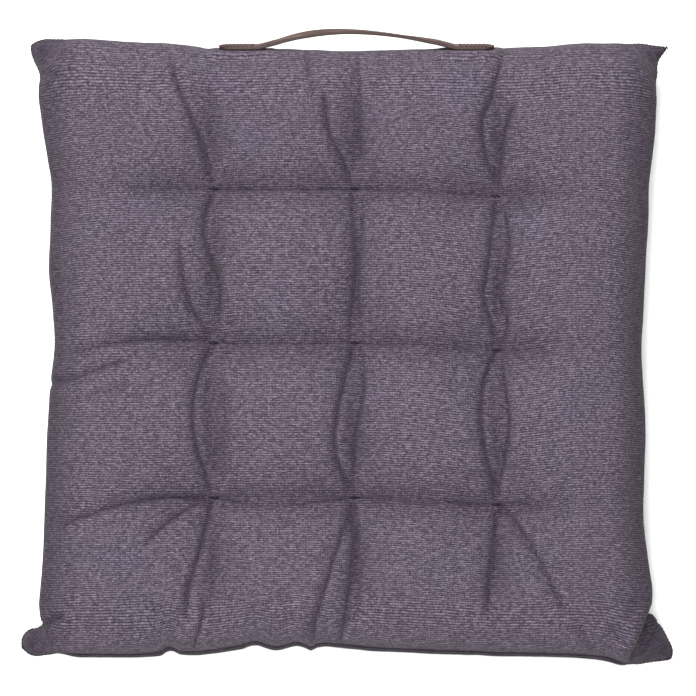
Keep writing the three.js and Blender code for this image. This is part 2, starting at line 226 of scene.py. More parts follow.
cover_low, cover_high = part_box("cover_top")
CENTRE_Y = (cover_low.y + cover_high.y) / 2 / MM
foam_low, foam_high = (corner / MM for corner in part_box("foam_core"))
TUFT_COLUMNS = ("left", "centre", "right")
TUFT_ROWS = ("front", "middle", "back")
tuft_places = {}
for row in TUFT_ROWS:
    for column in TUFT_COLUMNS:
        low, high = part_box(f"tuft_{row}_{column}")
        middle = (low + high) / 2 / MM
        tuft_places[row, column] = (middle.x, middle.y - CENTRE_Y)
COLUMN_X = [tuft_places["middle", column][0] for column in TUFT_COLUMNS]
ROW_Y = [tuft_places[row, "centre"][1] for row in TUFT_ROWS]
RIGHT_DROP = tuft_places["middle", "centre"][1] - tuft_places["middle", "right"][1]


def to_row(points):
    """Pad millimetres to the row frame's metres."""
    return (np.asarray(points, float) + (0, CENTRE_Y, 0)) * MM


def smooth_step(t):
    t = np.clip(t, 0, 1)
    return t * t * (3 - 2 * t)


def put_in_scene(name, data):
    thing = bpy.data.objects.new(name, data)
    bpy.context.scene.collection.objects.link(thing)
    return thing


def tuft_distance(x, y):
    """How far each place is from the nearest tuft."""
    return np.min([np.hypot(x - tuft_x, y - tuft_y) for tuft_x, tuft_y in tuft_places.values()], axis=0)


# ---- Lines and sheets ----
def read_weights(places, count):
    """Weights that read a row of `count` points smoothly at fractional places."""
    first = np.clip(np.floor(places).astype(int), 0, count - 2)
    t = places - first
    rows = np.arange(len(places))
    weights = np.zeros((len(places), count + 2))
    for step, share in enumerate((
        (-t + 2 * t**2 - t**3) / 2,
        (2 - 5 * t**2 + 3 * t**3) / 2,
        (t + 4 * t**2 - 3 * t**3) / 2,
        (t**3 - t**2) / 2,
    )):
        weights[rows, first + step] += share
    weights[:, 1] += 2 * weights[:, 0]
    weights[:, 2] -= weights[:, 0]
    weights[:, -2] += 2 * weights[:, -1]
    weights[:, -3] -= weights[:, -1]
    return weights[:, 1:-1]


def smooth_line(points, shares):
    """A smooth line through given points, read at shares of its length."""
    points = np.array(points, float)
    fine = read_weights(np.linspace(0, len(points) - 1, 16 * len(points)), len(points)) @ points
    steps = np.linalg.norm(np.diff(fine, axis=0), axis=1)
    run = np.concatenate(([0], np.cumsum(steps)))
    return np.stack([np.interp(shares * run[-1], run, fine[:, k]) for k in range(points.shape[1])], axis=1)


def spread_lines(tufts, half, slack, end_slack):
    """Grid lines across a panel: where each was cut, where it starts, and which ones pass the tufts."""
    cut_tufts = [tufts[1] + (place - tufts[1]) * slack for place in tufts]
    low = cut_tufts[0] - (tufts[0] + half) * end_slack
    high = cut_tufts[2] + (half - tufts[2]) * end_slack
    cut = np.linspace(low, high, PANEL_LINES + 1)
    start = np.interp(cut, [low, *cut_tufts, high], [-half, *tufts, half])
    passing = []
    for cut_place, place in zip(cut_tufts, tufts):
        line = int(np.argmin(abs(cut - cut_place)))
        cut[line] = cut_place
        start[line] = place
        passing.append(line)
    return cut, start, passing


def dense_lines(low, high, spacing, dense_at, dense_spacing, reach):
    """Places from low to high, closer together near the places given and at both ends."""
    along = np.linspace(low, high, 4000)
    density = np.full(along.shape, 1 / spacing)
    for place in dense_at:
        density = np.maximum(density, smooth_step(2 - abs(along - place) / reach) / dense_spacing)
    ends = np.minimum(along - low, high - along)
    density = np.maximum(density, smooth_step(2 - ends / 2.5) / 0.8)
    run = np.concatenate(([0], np.cumsum((density[1:] + density[:-1]) / 2 * np.diff(along))))
    count = int(round(run[-1]))
    return np.interp(np.linspace(0, run[-1], count + 1), run, along)


def sheet_normals(sheet):
    across = np.gradient(sheet, axis=1)
    along = np.gradient(sheet, axis=0)
    normals = np.cross(across, along)
    return normals / np.maximum(np.linalg.norm(normals, axis=2, keepdims=True), 1e-9)


# ---- The cover's cloth ----
def start_panels(cut_x, start_x, cut_y, start_y):
    """Both panels before the filling swells them, as grids of points, and the flat cut of each."""
    grid_x, grid_y = np.meshgrid(start_x, start_y)
    flat_x, flat_y = np.meshgrid(cut_x, cut_y)
    drop = RIGHT_DROP * np.exp(-(((grid_x - COLUMN_X[2]) / 40) ** 2)) * (1 - (grid_y / HALF_DEPTH) ** 4)
    grid_y = grid_y - drop
    base = np.stack([grid_x, grid_y, np.full(grid_x.shape, SEAM_HEIGHT)], axis=2)
    share_x = (cut_x - cut_x[0]) / (cut_x[-1] - cut_x[0])
    share_y = (cut_y - cut_y[0]) / (cut_y[-1] - cut_y[0])
    left = smooth_line(SEAM_LEFT, share_y) - base[:, 0]
    right = smooth_line(SEAM_RIGHT, share_y) - base[:, -1]
    front = smooth_line(SEAM_FRONT, share_x) - base[0]
    back = smooth_line(SEAM_BACK, share_x) - base[-1]

    def fade(distance):
        return np.clip(1 - distance / EDGE_FADE, 0, 1)[:, :, None] ** 2

    at_left, at_right = fade(grid_x + HALF_WIDTH), fade(HALF_WIDTH - grid_x)
    at_front, at_back = fade(grid_y + HALF_DEPTH), fade(HALF_DEPTH - grid_y)
    base += at_left * left[:, None] + at_right * right[:, None]
    base += at_front * front[None] + at_back * back[None]
    base -= at_left * (at_front * left[0] + at_back * left[-1])
    base -= at_right * (at_front * right[0] + at_back * right[-1])

    def roll(distance):
        return np.sqrt(1 - (1 - np.clip(distance / EDGE_ROLL, 0, 1)) ** 2)

    fullness = roll(HALF_WIDTH - abs(grid_x)) * roll(np.clip(HALF_DEPTH - abs(grid_y), 0, None))
    dip = np.exp(-((tuft_distance(grid_x, grid_y) / TUFT_SPREAD) ** 2))
    top, bottom = base.copy(), base.copy()
    top[:, :, 2] += START_SHARE * fullness * (TOP_RISE - TOP_TUFT_DIP * dip)
    bottom[:, :, 2] -= START_SHARE * fullness * (BOTTOM_RISE - BOTTOM_TUFT_DIP * dip)
    return top, bottom, np.stack([flat_x, flat_y - drop, np.full(grid_x.shape, SEAM_HEIGHT)], axis=2)


def swell(top, bottom, flat, tuft_columns, tuft_rows):
    """Blows the sewn cover up with Blender's cloth, held at its seam and tufts. Returns both panels."""
    last = PANEL_LINES
    index = np.arange((last + 1) ** 2).reshape(last + 1, last + 1)
    below = index + index.size
    below[0], below[-1], below[:, 0], below[:, -1] = index[0], index[-1], index[:, 0], index[:, -1]
    inner = below[1:-1, 1:-1]
    below[1:-1, 1:-1] = index.size + np.arange(inner.size).reshape(inner.shape)
    points = np.concatenate([top.reshape(-1, 3), bottom[1:-1, 1:-1].reshape(-1, 3)])
    cut = np.concatenate([flat.reshape(-1, 3), flat[1:-1, 1:-1].reshape(-1, 3)])

    held = set(border(index))
    for row in tuft_rows:
        for column in tuft_columns:
            for grid, height in ((index, TUFTS_TOP), (below, TUFTS_BOTTOM)):
                points[grid[row, column], 2] = height
                held.add(grid[row, column])
    mesh = bpy.data.meshes.new("swelling")
    faces = np.concatenate([grid_quads(index), grid_quads(below, True)])
    mesh.from_pydata((points * MM).tolist(), [], faces.tolist())
    cover = put_in_scene("swelling", mesh)
    cover.shape_key_add(name="sewn")
    cut_key = cover.shape_key_add(name="cut")
    cut_key.data.foreach_set("co", (cut * MM).astype(np.float32).ravel())
    cover.vertex_groups.new(name="held").add([int(v) for v in held], 1.0, "REPLACE")
    cloth = cover.modifiers.new("swell", "CLOTH")
    settings = cloth.settings
    settings.quality = 5
    settings.mass = 0.3
    settings.tension_stiffness = settings.compression_stiffness = 15
    settings.shear_stiffness = 5
    settings.bending_stiffness = 0.3
    settings.tension_damping = settings.compression_damping = settings.shear_damping = 5
    settings.air_damping = 2
    settings.use_pressure = True
    settings.uniform_pressure_force = CLOTH_PRESSURE
    settings.effector_weights.gravity = 0
    settings.vertex_group_mass = "held"
    settings.rest_shape_key = cut_key
    cloth.collision_settings.use_collision = False
    cloth.collision_settings.use_self_collision = False
    cloth.point_cache.frame_start = 1
    cloth.point_cache.frame_end = CLOTH_FRAMES
    for step in range(1, CLOTH_FRAMES + 1):
        bpy.context.scene.frame_set(step)
    swollen = cover.evaluated_get(bpy.context.evaluated_depsgraph_get()).to_mesh()
    settled = np.zeros(len(points) * 3, np.float32)
    swollen.vertices.foreach_get("co", settled)
    settled = settled.reshape(-1, 3).astype(float) / MM
    bpy.data.objects.remove(cover)
    bpy.data.meshes.remove(mesh)
    bpy.context.scene.frame_set(1)
    return settled[index], settled[below]


def settle(sheet):
    """Eases the crowns down under the pad's thickness, and lays the underside flat on the seat."""
    height = sheet[:, :, 2]
    height = np.where(height > TUFTS_TOP, TUFTS_TOP + (height - TUFTS_TOP) * CROWN_SHARE, height)
    over = np.clip(height - CROWN_EASE, 0, None)
    height = np.minimum(height, CROWN_EASE) + CROWN_ROOM * np.tanh(over / CROWN_ROOM)
    height = FLOOR_EASE * np.logaddexp(0, height / FLOOR_EASE)
    sheet[:, :, 2] = height - FLOOR_EASE * math.log(2) * (1 - smooth_step(height / 12))
    return sheet


def fold_shifts(sheet, share=1.0):
    """How the folds move the points of a sheet: (depth at each point, sideways gathering as X and Y)."""
    x, y = sheet[:, :, 0], sheet[:, :, 1]
    depth = np.zeros(x.shape)
    gather = np.zeros(x.shape + (2,))
    for deep, width, points in FOLDS:
        line = smooth_line(points, np.linspace(0, 1, 6 * len(points)))
        reach = FOLD_REACH * width + 4
        rows, columns = np.nonzero(
            (x > line[:, 0].min() - reach) & (x < line[:, 0].max() + reach)
            & (y > line[:, 1].min() - reach) & (y < line[:, 1].max() + reach)
        )
        places = np.stack([x[rows, columns], y[rows, columns]], axis=1)
        start, step = line[:-1], np.diff(line, axis=0)
        offset = places[:, None] - start[None]
        t = np.clip((offset * step).sum(2) / (step**2).sum(1), 0, 1)
        away = offset - t[:, :, None] * step[None]
        distance = np.hypot(away[:, :, 0], away[:, :, 1])
        best = np.argmin(distance, axis=1)
        pick = np.arange(len(best))
        away, distance = away[pick, best], distance[pick, best]
        run = (best + t[pick, best]) / len(step)
        side = np.sign(away[:, 0] * step[best, 1] - away[:, 1] * step[best, 0])
        # A fold is sharp at its line, steeper on one side, and dies away at both ends.
        wide = width * np.where(side > 0, 1.25, 0.72)
        ends = np.clip(np.minimum(run, 1 - run) * 5, 0, 1)
        strength = share * deep * np.sqrt(ends * (2 - ends))
        rounded = np.sqrt(distance**2 + 0.25) - 0.5
        valley = np.exp(-rounded / wide) - 0.36 * np.exp(-(((rounded - 2.6 * wide) / (1.5 * wide)) ** 2))
        depth[rows, columns] += strength * valley
        pull = FOLD_PULL * strength * np.exp(-((distance / (1.6 * wide)) ** 2)) / np.maximum(1.2 * wide, 0.1)
        gather[rows, columns] -= away * np.minimum(pull, 0.6)[:, None]
    return depth, gather


def valleys(sheet):
    """The dips between the rolls, sharp at the lines of tufts and deepest along the columns."""
    x, y = sheet[:, :, 0], sheet[:, :, 1]

    def dip(away, width, soft):
        return np.exp(-(np.sqrt(away**2 + soft**2) - soft) / width)

    inside = smooth_step((HALF_DEPTH - 4 - abs(y)) / 55)
    depth = np.zeros(x.shape)
    for place in COLUMN_X:
        wander = COLUMN_WANDER * np.sin(y / 31 + place) * np.sin((y - ROW_Y[1]) * math.pi / 96) ** 2
        depth = np.maximum(depth, VALLEY_DEPTH * inside * dip(x - place - wander, VALLEY_WIDTH, 1.0))
    across = smooth_step((HALF_WIDTH - 20 - abs(x)) / 90)
    drop = RIGHT_DROP * smooth_step((x - COLUMN_X[1]) / (COLUMN_X[2] - COLUMN_X[1]))
    rows = np.zeros(x.shape)
    for place in ROW_Y:
        rows = np.maximum(rows, ROW_DEPTH * across * dip(y - place + drop, ROW_WIDTH, 3.5))
    depth = np.sqrt(depth**2 + rows**2)
    depth *= 1 - 0.75 * np.exp(-((tuft_distance(x, y) / 14) ** 2))
    for tuft_x, tuft_y in tuft_places.values():
        away = np.hypot((x - tuft_x) / 4.6, (y - tuft_y) / 2.4)
        depth += TUFT_PINCH * np.exp(-(away**2))
    return depth


def uneven(sheet, seed):
    """Small long swells in stuffed cloth, in millimetres."""
    flat = sheet.reshape(-1, 3)
    swells = [
        noise.noise(Vector((x / 26, y / 44, seed))) + 0.5 * noise.noise(Vector((x / 11, y / 19, seed + 7)))
        for x, y, z in flat
    ]
    return CLOTH_UNEVEN * np.array(swells).reshape(sheet.shape[:2])


def ear_shifts(sheet):
    """The front right ear is folded under: how far each place drops, and how much shade is painted on it."""
    x, y = sheet[:, :, 0], sheet[:, :, 1]
    (x0, y0), (x1, y1) = EAR_FOLD
    past = ((y - y0) * (x1 - x0) - (x - x0) * (y1 - y0)) / math.hypot(x1 - x0, y1 - y0)
    corner = smooth_step((x - 150) / 15) * smooth_step((-150 - y) / 15)
    drop = EAR_DROP * smooth_step(past / 4 + 0.5) - 2.5 * np.exp(-(((past + 5) / 5) ** 2))
    return drop * corner, smooth_step(past / 3 + 0.5) * corner


def finish_panel(sheet, edge, far_x, upper):
    """The folds and valleys of one panel, and the shade painted into its colour at each place."""
    side = 1.0 if upper else -1.0
    x, y = sheet[:, :, 0], sheet[:, :, 1]
    normals = sheet_normals(sheet) * side
    depth, gather = fold_shifts(sheet, 1.0 if upper else UNDERSIDE_FOLDS)
    hold = smooth_step(edge / 5)
    depth = depth * np.where(depth < 0, smooth_step((edge - 3) / 16), hold)
    broad = valleys(sheet) * (1.0 if upper else UNDERSIDE_VALLEYS)
    ear, ear_shade = ear_shifts(sheet)
    # Painted shade: darker in the creases, in the valleys between the rolls and on the folded ear.
    shade = np.clip(depth / 2.4, 0, 1) + 0.62 * np.clip(broad / VALLEY_DEPTH, 0, 1) + 0.3 * ear_shade
    # Painted shade round each tuft.
    for tuft_x, tuft_y in tuft_places.values():
        shade += 0.45 * np.exp(-(((x - tuft_x) / 19) ** 2) - ((y - tuft_y) / 9) ** 2)
    # Painted shade on the top right tip.
    shade += 0.9 * np.exp(-((np.hypot(x - 197, y - 187) / 6) ** 2))
    # Painted shade along the left and right rims, where they turn away from the light.
    shade += RIM_SHADE * (1 - smooth_step(far_x / RIM_WIDTH))
    # Painted shade along the seam.
    shade += np.exp(-edge / 1.9) if upper else np.exp(-((edge / 11) ** 2))
    sheet = sheet.copy()
    sheet[:, :, :2] += gather * hold[:, :, None]
    sheet[:, :, 2] -= side * broad * smooth_step(edge / 14) + ear
    sheet -= normals * (depth - uneven(sheet, 3.0 if upper else 11.0) * hold)[:, :, None]
    return sheet, np.clip(shade, 0, 1)


def round_edges(sheet, far, axis, sign, arc, bulge, corner):
    """Rolls a sheet round from its seam to its crest: far is the cloth's distance from the seam, column by
    column, and the seam is the first column. corner is how far each row is from the nearer corner."""
    crest = int(np.searchsorted(far, arc))
    run = np.clip(far / arc, 0, 1)
    turn = (1.17 * run - 0.17 * run**2) * math.pi / 2
    share = smooth_step((corner - 3) / 24)[:, None] * (1 - smooth_step((far / arc - 0.5) / 0.5))[None, :]
    stand = smooth_step((corner - 20) / 22)[:, None]
    outward = sign * bulge * stand * np.sin(math.pi * np.clip(far / 18, 0, 1))
    for part, curve, extra in ((axis, 1 - np.cos(turn), outward), (2, np.sin(turn), 0)):
        seam, top = sheet[:, :1, part], sheet[:, crest:crest + 1, part]
        rounded = seam + (top - seam) * curve + extra
        sheet[:, :, part] = sheet[:, :, part] * (1 - share) + rounded * share


def round_panel(sheet, fine_x, fine_y, upper):
    """The pad's round sides. Only at the front does the underside stand out past the seam."""
    arc = TOP_ARC if upper else BOTTOM_ARC
    far_x = (fine_x - fine_x[0], (fine_x[-1] - fine_x)[::-1])
    far_y = (fine_y - fine_y[0], (fine_y[-1] - fine_y)[::-1])
    corner_y = np.minimum(far_y[0], far_y[1][::-1])
    corner_x = np.minimum(far_x[0], far_x[1][::-1])
    turned = sheet.transpose(1, 0, 2)
    side_bulge, front_bulge, back_bulge = (3.2, 0.6, 1.8) if upper else (1.0, 5.2, 0.6)
    round_edges(sheet, far_x[0], 0, -1, arc, side_bulge, corner_y)
    round_edges(sheet[:, ::-1], far_x[1], 0, 1, arc, side_bulge, corner_y)
    round_edges(turned, far_y[0], 1, -1, arc, front_bulge, corner_x)
    round_edges(turned[:, ::-1], far_y[1], 1, 1, arc, back_bulge, corner_x)
    return sheet


def seam_puckers(sheet, far_x, far_y, upper):
    """The seam draws the cloth in, in small gathers that die away from it."""
    x, y = sheet[:, :, 0], sheet[:, :, 1]
    edge = np.minimum(far_x, far_y)
    along = np.where(far_x < far_y, y + 900, x)
    wave = np.sin(along * 0.52 + 1.7 * np.sin(along * 0.083))
    wave = wave + 0.6 * np.sin(along * 0.9 + 2.3 * np.sin(along * 0.061 + 1))
    strength = 0.35 + 0.45 * smooth_step((-y - 150) / 25)
    sheet[:, :, 2] += (1 if upper else 0.6) * strength * wave * np.exp(-edge / 9)
    # Both panels turn in at the seam, except in the pointed corners.
    turned = 1.2 * np.exp(-edge / 1.5) * smooth_step((np.maximum(far_x, far_y) - 22) / 12)
    sheet[:, :, 0] -= np.sign(x) * turned * (far_x < far_y)
    sheet[:, :, 1] -= np.sign(y) * turned * (far_y <= far_x)
    return sheet


def under_strap(sheet):
    """The cloth lies flat behind the strap's two sewn ends."""
    relative = sheet - strap_origin()
    out = relative @ STRAP_OUT
    up = relative @ STRAP_UP
    along = abs(relative[:, :, 0])
    pressed = smooth_step((along - 46) / 8) * smooth_step((STRAP_SPAN / 2 + 12 - along) / 10)
    pressed = pressed * smooth_step((14 - abs(up)) / 6)
    free = smooth_step((60 - along) / 8) * smooth_step((14 - abs(up)) / 6)
    near = smooth_step((out + 6) / 4)
    over = np.clip(out + 0.4, 0, None) * free
    return sheet + STRAP_OUT * ((-0.15 - out) * near * pressed - over * (1 - pressed))[:, :, None]


# ---- The strap's own frame ----
STRAP_OUT = np.array([0, math.cos(STRAP_TILT), math.sin(STRAP_TILT)])
STRAP_UP = np.array([0, -math.sin(STRAP_TILT), math.cos(STRAP_TILT)])


def strap_place(x, bow=STRAP_BOW):
    """The middle of the strap's thickness, out from the plane of its sewn ends."""
    skew = STRAP_SKEW * np.maximum(0, 1 - (x / STRAP_PIVOT) ** 2)
    q = np.minimum(1, abs(x + skew) / STRAP_FLAT_FROM)
    return STRAP_THICKNESS / 2 + (bow - STRAP_THICKNESS / 2) * (1 - q * q) ** STRAP_BOW_POWER


def strap_origin():
    """The middle of the plane that the sewn ends lie on, in the pad's millimetres."""
    hinge = np.array(frame["joints"][0]["pos_m"]) / MM - (0, CENTRE_Y, 0)
    return hinge - STRAP_OUT * strap_place(np.array(STRAP_PIVOT))


# ---- Meshes ----
def make_piece(name, points, faces, material, uv=None, attributes=None):
    """A piece from points in the pad's millimetres."""
    mesh = bpy.data.meshes.new(name)
    mesh.from_pydata(to_row(points).tolist(), [], faces)
    mesh.materials.append(material)
    for label, values in (attributes or {}).items():
        layer = mesh.attributes.new(label, "FLOAT", "POINT")
        layer.data.foreach_set("value", values.astype(np.float32).ravel())
    if uv is not None:
        corners = np.zeros(len(mesh.loops), int)
        mesh.loops.foreach_get("vertex_index", corners)
        flat = mesh.uv_layers.new(name="Cut")
        flat.data.foreach_set("uv", uv[corners].astype(np.float32).ravel())
    mesh.polygons.foreach_set("use_smooth", [True] * len(mesh.polygons))
    mesh.update()
    return put_in_scene(name, mesh)


def grid_quads(index, turned=False):
    corners = [index[:-1, :-1], index[:-1, 1:], index[1:, 1:], index[1:, :-1]]
    return np.stack(corners[::-1] if turned else corners, axis=-1).reshape(-1, 4)


def border(grid):
    """The outer places of a grid, in order round it."""
    return np.concatenate([grid[0, :-1], grid[:-1, -1], grid[-1, :0:-1], grid[:0:-1, 0]])


def rim_quads(outer, inner, turned):
    """Faces that join the borders of two grids of vertex numbers."""
    a, b = border(outer), border(inner)
    quads = np.stack([a, b, np.roll(b, -1), np.roll(a, -1)], axis=1)
    return quads[:, ::-1] if turned else quads


def two_walls(name, outer, inner, upper, material, uv=None, attributes=None):
    """A closed piece between two grids: outer faces away from the pad's middle."""
    count = outer.shape[0] * outer.shape[1]
    index = np.arange(count).reshape(outer.shape[:2])
    faces = np.concatenate([
        grid_quads(index, not upper),
        grid_quads(index + count, upper),
        rim_quads(index, index + count, not upper),
    ])
    points = np.concatenate([outer.reshape(-1, 3), inner.reshape(-1, 3)])
    if uv is not None:
        uv = np.concatenate([uv, uv])
    doubled = {label: np.concatenate([values.ravel()] * 2) for label, values in (attributes or {}).items()}
    return make_piece(name, points, faces.tolist(), material, uv, doubled)


def tube(path, radius, sides):
    """Points and faces of a thread along a path, closed at both ends."""
    path = np.array(path, float)
    ahead = np.gradient(path, axis=0)
    ahead /= np.linalg.norm(ahead, axis=1, keepdims=True)
    guide = np.where(abs(ahead[:, 2:3]) < 0.8, (0.0, 0.0, 1.0), (0.0, 1.0, 0.0))
    first = np.cross(ahead, guide)
    first /= np.linalg.norm(first, axis=1, keepdims=True)
    second = np.cross(ahead, first)
    turn = np.linspace(0, 2 * math.pi, sides, endpoint=False)
    ring = first[:, None] * np.cos(turn)[None, :, None] + second[:, None] * np.sin(turn)[None, :, None]
    points = (path[:, None] + ring * radius).reshape(-1, 3)
    index = np.arange(len(points)).reshape(len(path), sides)
    nxt = np.roll(index, -1, axis=1)
    faces = np.stack([index[:-1], index[1:], nxt[1:], nxt[:-1]], axis=-1).reshape(-1, 4).tolist()
    tip = radius * 0.4
    points = np.concatenate([points, path[:1] - ahead[:1] * tip, path[-1:] + ahead[-1:] * tip])
    start, end = len(points) - 2, len(points) - 1
    faces += [[start, index[0, k], nxt[0, k]] for k in range(sides)]
    faces += [[end, nxt[-1, k], index[-1, k]] for k in range(sides)]
    return points, faces


def gather_shapes(shapes):
    """Several (points, faces) as one."""
    points, faces, first = [], [], 0
    for shape_points, shape_faces in shapes:
        points.append(shape_points)
        faces += [[first + corner for corner in face] for face in shape_faces]
        first += len(shape_points)
    return np.concatenate(points), faces


# ---- Materials ----
def add_node(tree, kind, inputs=None, **settings):
    """A node with its settings, and its inputs set or linked by name or number."""
    made = tree.nodes.new(kind)
    for key, value in settings.items():
        setattr(made, key, value)
    for key, value in (inputs or {}).items():
        if isinstance(value, bpy.types.NodeSocket):
            tree.links.new(value, made.inputs[key])
        else:
            made.inputs[key].default_value = value
    return made


def maths(tree, operation, a, b=0.0, c=0.0, clamp=False):
    made = add_node(tree, "ShaderNodeMath", {0: a, 1: b, 2: c}, operation=operation, use_clamp=clamp)
    return made.outputs[0]


def vector_maths(tree, operation, a, b):
    return add_node(tree, "ShaderNodeVectorMath", {0: a, 1: b}, operation=operation).outputs[0]


def noise_at(tree, vector, scale, detail, **more):
    """The colour-free value of a noise texture."""
    inputs = {"Vector": vector, "Scale": scale, "Detail": detail, **more}
    return add_node(tree, "ShaderNodeTexNoise", inputs).outputs[0]


def object_place(tree):
    return add_node(tree, "ShaderNodeTexCoord").outputs["Object"]


def mixed(tree, factor, a, b, blend="MIX"):
    made = add_node(tree, "ShaderNodeMix", {0: factor, 6: a, 7: b}, data_type="RGBA", blend_type=blend)
    return made.outputs[2]


def colour_steps(tree, factor, *steps):
    made = add_node(tree, "ShaderNodeValToRGB", {0: factor})
    ramp = made.color_ramp
    while len(ramp.elements) < len(steps):
        ramp.elements.new(0.5)
    for element, (place, colour) in zip(ramp.elements, steps):
        element.position = place
        element.color = (*colour, 1)
    return made.outputs[0]


def new_group(name, inputs, outputs):
    """A shader node group with named sockets."""
    group = bpy.data.node_groups.new(name, "ShaderNodeTree")
    for label, kind, value in inputs:
        socket = group.interface.new_socket(label, in_out="INPUT", socket_type=kind)
        if value is not None:
            socket.default_value = value
    for label, kind in outputs:
        group.interface.new_socket(label, in_out="OUTPUT", socket_type=kind)
    return group, group.nodes.new("NodeGroupInput"), group.nodes.new("NodeGroupOutput")


def slub_weave_group():
    """A plain weave of uneven yarns. Vector is the flat cloth in metres."""
    group, given, result = new_group(
        "slub_weave",
        [("Vector", "NodeSocketVector", None), ("Warp Pitch", "NodeSocketFloat", 0.0012),
         ("Weft Pitch", "NodeSocketFloat", 0.002), ("Slub", "NodeSocketFloat", 0.5)],
        [("Tint", "NodeSocketFloat"), ("Height", "NodeSocketFloat"), ("Patch", "NodeSocketFloat")],
    )
    vector = given.outputs["Vector"]
    waver = add_node(group, "ShaderNodeTexNoise", {"Vector": vector, "Scale": 130.0, "Detail": 2.0})
    wavered = vector_maths(group, "SUBTRACT", waver.outputs["Color"], (0.5, 0.5, 0.5))
    wavered = vector_maths(group, "MULTIPLY", wavered, (0.0012, 0.0012, 0.0))
    place = vector_maths(group, "ADD", vector, wavered)
    axes = add_node(group, "ShaderNodeSeparateXYZ", {0: place})
    warp = maths(group, "DIVIDE", axes.outputs[0], given.outputs["Warp Pitch"])
    weft = maths(group, "DIVIDE", axes.outputs[1], given.outputs["Weft Pitch"])
    warp_yarn = maths(group, "FLOOR", warp)
    weft_yarn = maths(group, "FLOOR", weft)
    warp_round, weft_round = (
        maths(group, "ABSOLUTE", maths(group, "SINE", maths(group, "MULTIPLY", yarn, math.pi)))
        for yarn in (warp, weft)
    )
    parity = maths(group, "FLOORED_MODULO", maths(group, "ADD", warp_yarn, weft_yarn), 2.0)
    half_warp = maths(group, "MULTIPLY", warp, 0.5)
    pair = maths(group, "FLOOR", maths(group, "MULTIPLY_ADD", weft_yarn, 0.35, half_warp))
    cell = add_node(group, "ShaderNodeCombineXYZ", {0: pair, 1: weft_yarn}).outputs[0]
    fleck = add_node(group, "ShaderNodeTexWhiteNoise", {"Vector": cell}, noise_dimensions="3D")
    fleck = fleck.outputs["Value"]
    streak = noise_at(group, vector_maths(group, "MULTIPLY", place, (260.0, 800.0, 1.0)), 1.0, 2.0)
    fine = noise_at(group, vector_maths(group, "MULTIPLY", place, (850.0, 1000.0, 1.0)), 1.0, 2.0)
    # The weft's ribs stand up between rows of small gaps, and the warp crosses under and over them.
    crossing = maths(group, "MULTIPLY", weft_round, maths(group, "MULTIPLY_ADD", warp_round, 0.45, 0.55))
    lift = maths(group, "MULTIPLY", maths(group, "SUBTRACT", parity, 0.5), 0.25)
    slub = maths(group, "MULTIPLY", maths(group, "SUBTRACT", streak, 0.5), given.outputs["Slub"])
    height = maths(group, "ADD", maths(group, "ADD", crossing, slub), lift)
    # Painted shade: each yarn's colour is lighter on its rounded top and darker at its edges, in the gaps between
    # yarns.
    tint = maths(group, "MULTIPLY_ADD", crossing, 0.62, 0.02)
    tint = maths(group, "MULTIPLY_ADD", maths(group, "SUBTRACT", fleck, 0.5), 0.26, tint)
    tint = maths(group, "MULTIPLY_ADD", maths(group, "SUBTRACT", streak, 0.5), 0.8, tint)
    tint = maths(group, "MULTIPLY_ADD", maths(group, "SUBTRACT", fine, 0.5), 1.1, tint, clamp=True)
    for label, value in (("Tint", tint), ("Height", height), ("Patch", noise_at(group, vector, 18.0, 1.0))):
        group.links.new(value, result.inputs[label])
    return group


def new_material(name, roughness):
    material = bpy.data.materials.new(name)
    material.use_nodes = True
    shader = material.node_tree.nodes["Principled BSDF"]
    shader.inputs["Roughness"].default_value = roughness
    return material, material.node_tree, shader


def add_bump(tree, shader, height, distance, strength=1.0):
    bump = add_node(tree, "ShaderNodeBump", {"Height": height, "Distance": distance, "Strength": strength})
    tree.links.new(bump.outputs[0], shader.inputs["Normal"])


def cover_cloth_material(weave, name, shade, depth):
    """Mauve-grey slubbed cloth: dark purple, mauve and pale yarns, a little bluer in places."""
    material, tree, shader = new_material(name, 0.92)
    flat = add_node(tree, "ShaderNodeUVMap", uv_map="Cut").outputs[0]
    cloth = add_node(tree, "ShaderNodeGroup", node_tree=weave)
    tree.links.new(flat, cloth.inputs["Vector"])
    for label, value in (("Warp Pitch", 0.001), ("Weft Pitch", 0.0015), ("Slub", 0.8)):
        cloth.inputs[label].default_value = value
    # shade scales the cloth's whole colour and depth sets its darkest painted shade; the underside's copy is lower in
    # both, as painted shade.
    dark, middle, pale = (0.020, 0.014, 0.024), (0.075, 0.056, 0.079), (0.225, 0.180, 0.228)
    colour = colour_steps(tree, cloth.outputs["Tint"],
                          (0.0, [shade * c for c in dark]), (0.42, [shade * c for c in middle]),
                          (1.0, [shade * c for c in pale]))
    cool = colour_steps(tree, cloth.outputs["Patch"], (0.5, (1.0, 1.0, 1.0)), (0.8, (0.93, 1.0, 1.01)))
    colour = mixed(tree, 1.0, colour, cool, "MULTIPLY")
    # This attribute paints shade into the colour, down to depth times a dark mauve at its full strength.
    painted_shade = add_node(tree, "ShaderNodeAttribute", attribute_name="painted_shade").outputs["Fac"]
    deep = colour_steps(tree, painted_shade, (0.05, (1.0, 1.0, 1.0)), (1.0, [depth * c for c in (0.44, 0.38, 0.47)]))
    colour = mixed(tree, 1.0, colour, deep, "MULTIPLY")
    tree.links.new(colour, shader.inputs["Base Color"])
    shader.inputs["Sheen Weight"].default_value = 0.12
    shader.inputs["Sheen Roughness"].default_value = 0.5
    shader.inputs["Specular IOR Level"].default_value = 0.15
    add_bump(tree, shader, cloth.outputs["Height"], 0.0005, 0.75)
    return material


